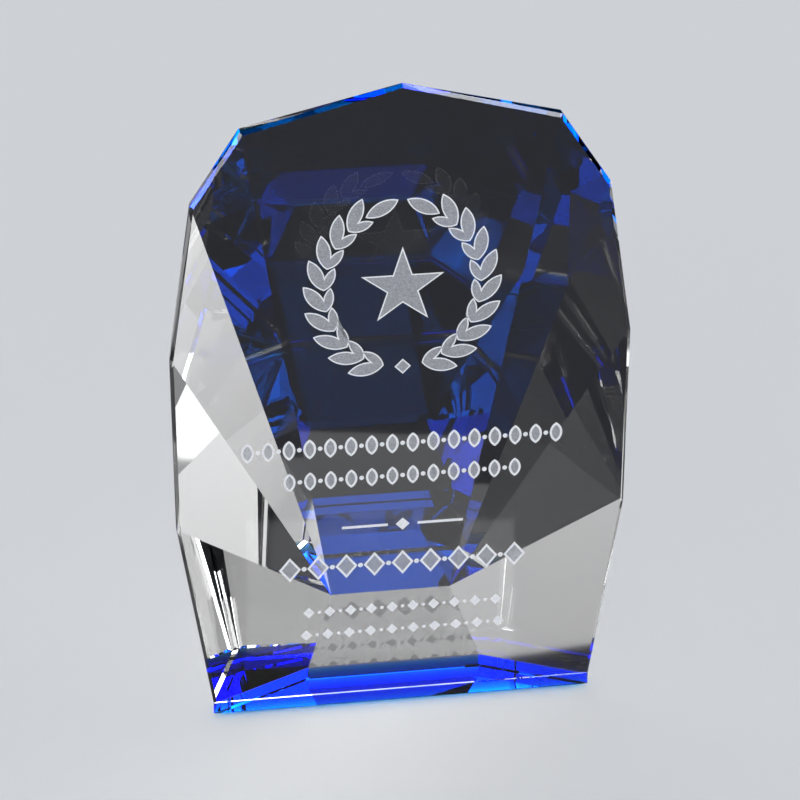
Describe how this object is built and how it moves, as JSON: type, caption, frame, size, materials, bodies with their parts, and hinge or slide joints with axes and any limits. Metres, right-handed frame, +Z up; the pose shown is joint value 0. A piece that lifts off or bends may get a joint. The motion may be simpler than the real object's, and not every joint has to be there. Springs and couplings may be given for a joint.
{
  "type": "crystal award",
  "caption": "Free-standing presentation award: a flat-faced clear crystal with a faceted back, bonded to a thin blue crystal base, with an etched wreath and star.",
  "frame": {"origin": "middle of the bounding box's underside, on the table; X = 0 is the mirror plane", "axes": "+Z up, -Y is the way the flat front face looks, +X to the right seen from the front"},
  "size_m": [0.137, 0.041, 0.204],
  "materials": {
    "clear_crystal": "polished flat facets, colourless optical crystal",
    "blue_crystal": "polished cobalt-blue crystal",
    "cured_adhesive": "clear cured adhesive, optically joining the two crystals",
    "etch_white": "frosted translucent white colour fill in etched recesses"
  },
  "bodies": {
    "root": {"crystal_body": "clear_crystal", "bond_film": "cured_adhesive", "blue_base": "blue_crystal", "star_fill": "etch_white", "wreath_left_fill": "etch_white", "wreath_right_fill": "etch_white", "wreath_tie_fill": "etch_white", "band_1_fill": "etch_white", "band_2_fill": "etch_white", "band_3_fill": "etch_white", "band_4_fill": "etch_white", "band_5_fill": "etch_white", "band_6_fill": "etch_white"}
  },
  "joints": []
}
